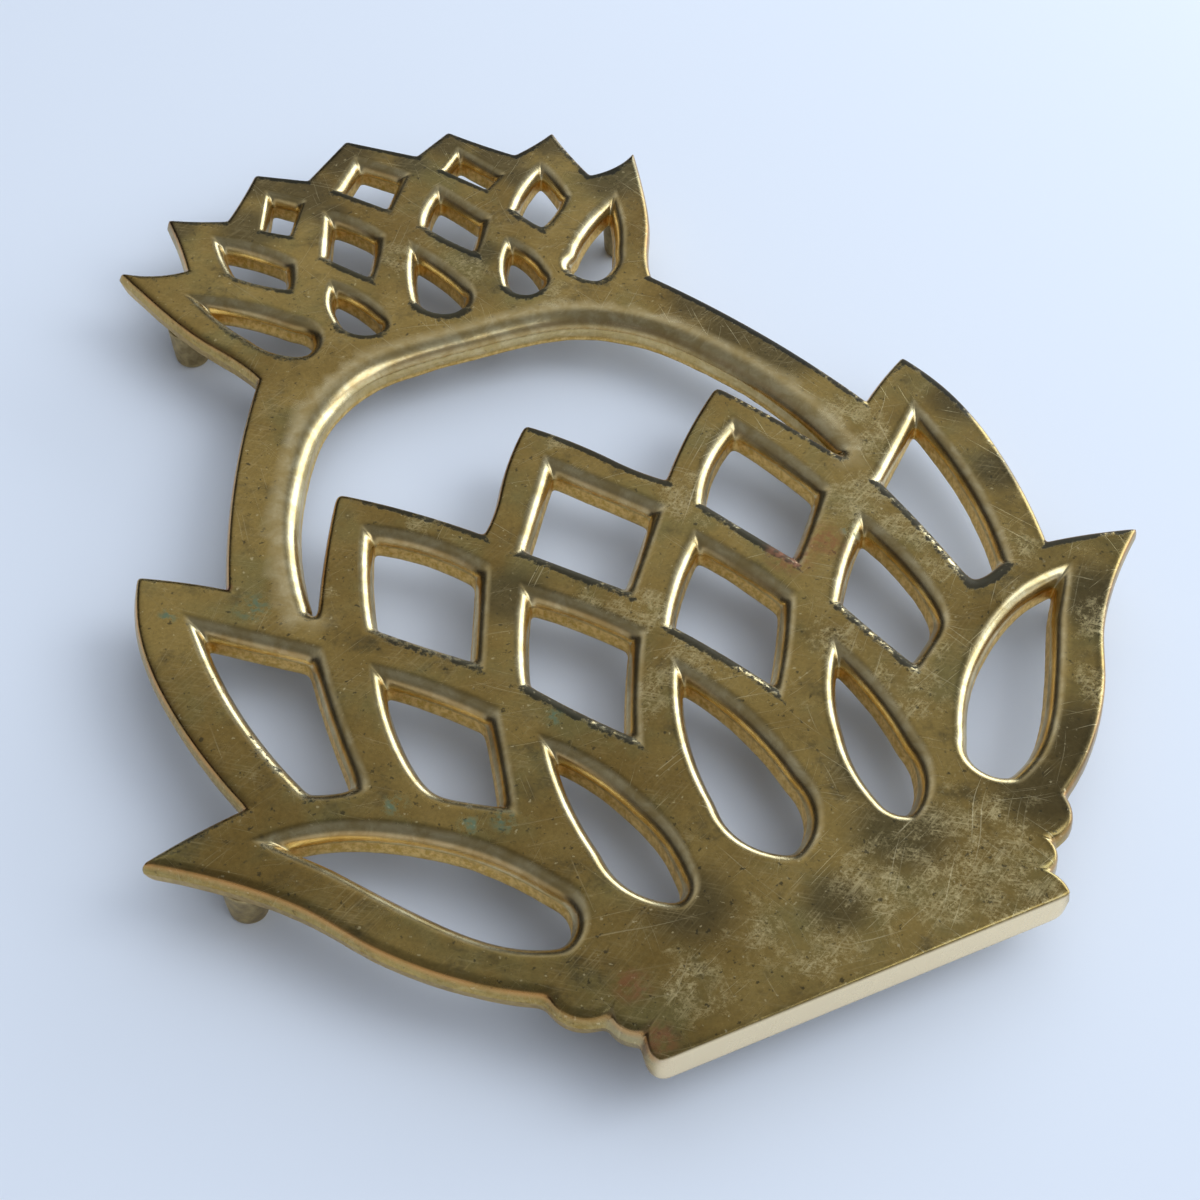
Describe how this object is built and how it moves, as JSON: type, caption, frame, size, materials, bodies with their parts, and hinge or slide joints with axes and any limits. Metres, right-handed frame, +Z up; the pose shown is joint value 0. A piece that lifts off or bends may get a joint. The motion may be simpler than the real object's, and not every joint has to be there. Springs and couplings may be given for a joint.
{
  "type": "trivet",
  "caption": "Openwork brass trivet: a pierced plate in the outline of a two-tiered fruit of leaves, with a hoop between the tiers, on tapered feet, to keep a hot dish off the table.",
  "frame": {"origin": "on the surface the feet stand on, under the middle of the plate", "axes": "+Z up, +Y from the straight base edge towards the top leaf, +X across the plate"},
  "size_m": [0.1702, 0.2012, 0.013],
  "materials": {
    "plate_brass": "cast brass with a worn polish on the top face, tarnished olive brown, rough as cast in the walls of the openings and below",
    "foot_brass": "cast brass, dull and tarnished"
  },
  "bodies": {
    "root": {"plate_casting": "plate_brass", "foot_front_left": "foot_brass", "foot_front_right": "foot_brass", "foot_back_left": "foot_brass", "foot_back_right": "foot_brass"}
  },
  "joints": []
}
